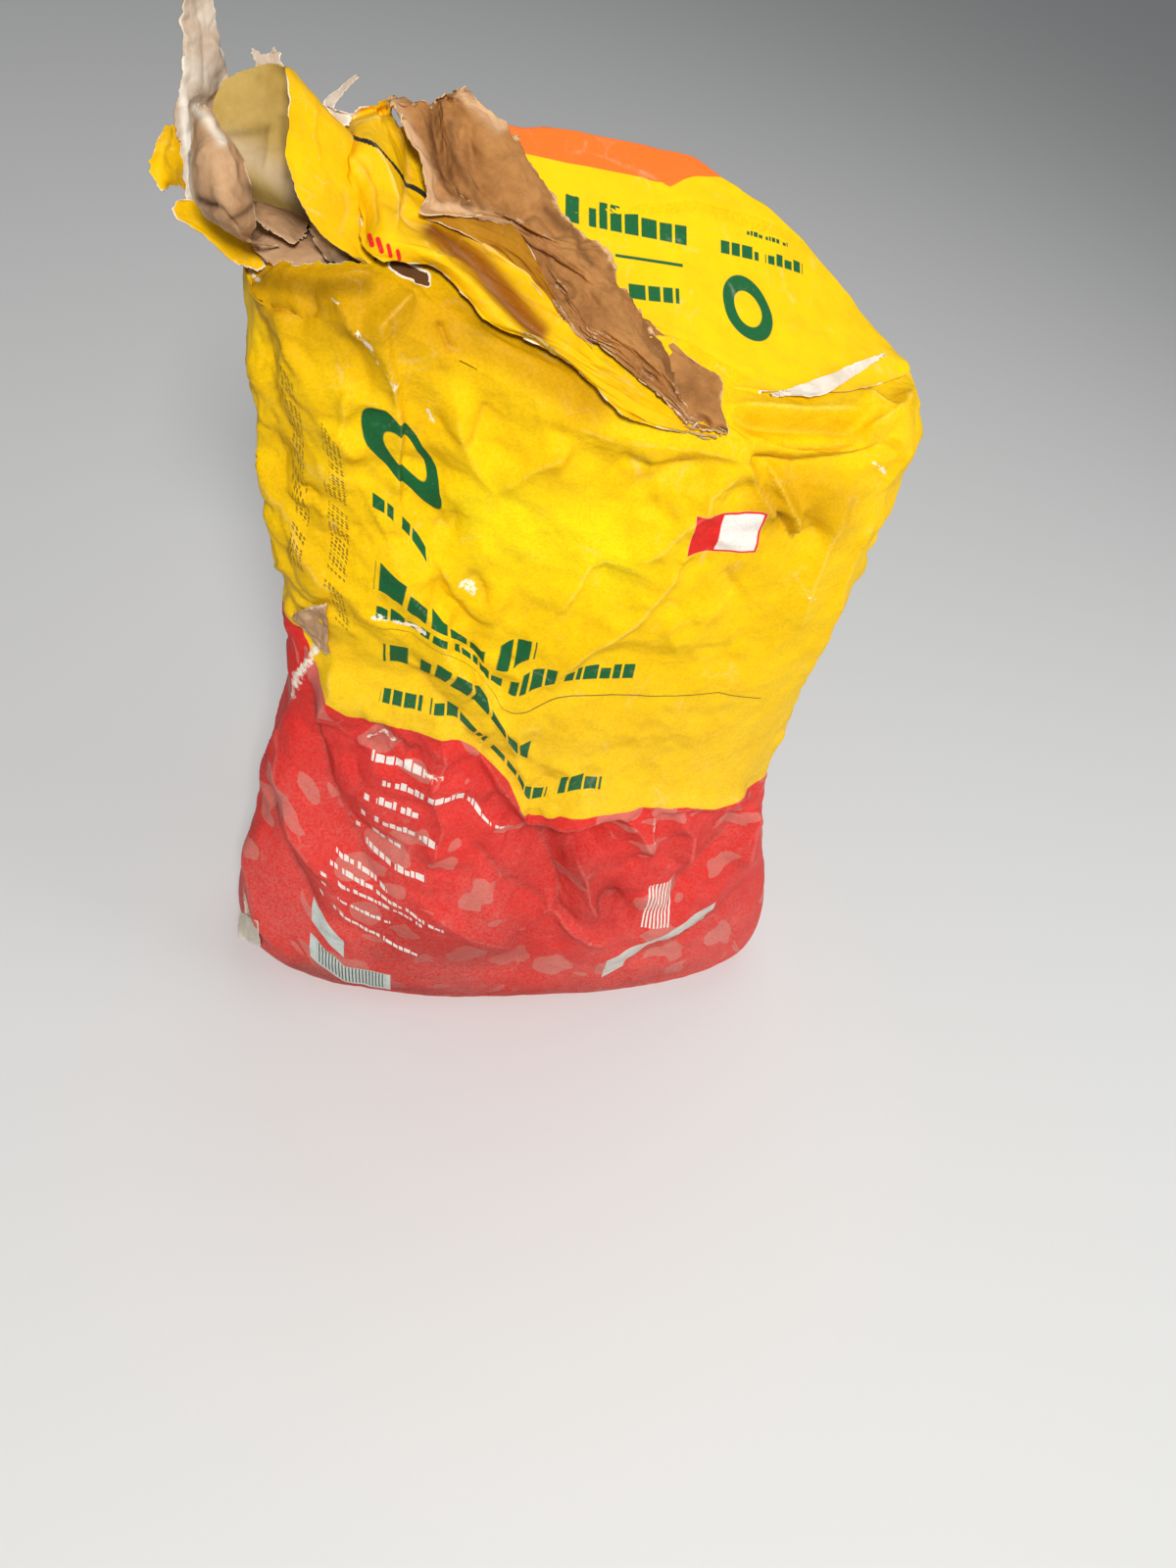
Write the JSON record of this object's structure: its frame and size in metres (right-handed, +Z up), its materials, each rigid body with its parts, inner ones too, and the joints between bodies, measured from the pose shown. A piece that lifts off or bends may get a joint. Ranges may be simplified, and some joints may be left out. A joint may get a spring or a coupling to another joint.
{
  "type": "opened paper sack of dry concrete mix",
  "caption": "Multi-ply paper sack of dry concrete mix standing on its block bottom, part used, its top corner torn open.",
  "frame": {"origin": "point of the flat resting face near its middle, on the floor", "axes": "+Z up, +Y from the printed front panel to the back, +X to the viewer's right of the front panel"},
  "size_m": [0.3758, 0.1532, 0.5102],
  "materials": {
    "printed_paper": "satin printed kraft, yellow above and red below, dusty and creased",
    "kraft_paper": "bare brown kraft, matte, torn edges with pale fibres",
    "patch_paper": "satin printed paper, yellow with an orange band",
    "strip_paper": "bare brown kraft, matte, wrinkled",
    "dry_mix": "dusty grey cement and gravel"
  },
  "bodies": {
    "root": {"outer_ply": "printed_paper", "kraft_ply": "kraft_paper", "kraft_spear": "kraft_paper", "kraft_pouch": "kraft_paper", "end_patch": "patch_paper", "kraft_strip": "strip_paper", "dry_mix": "dry_mix"}
  },
  "joints": []
}
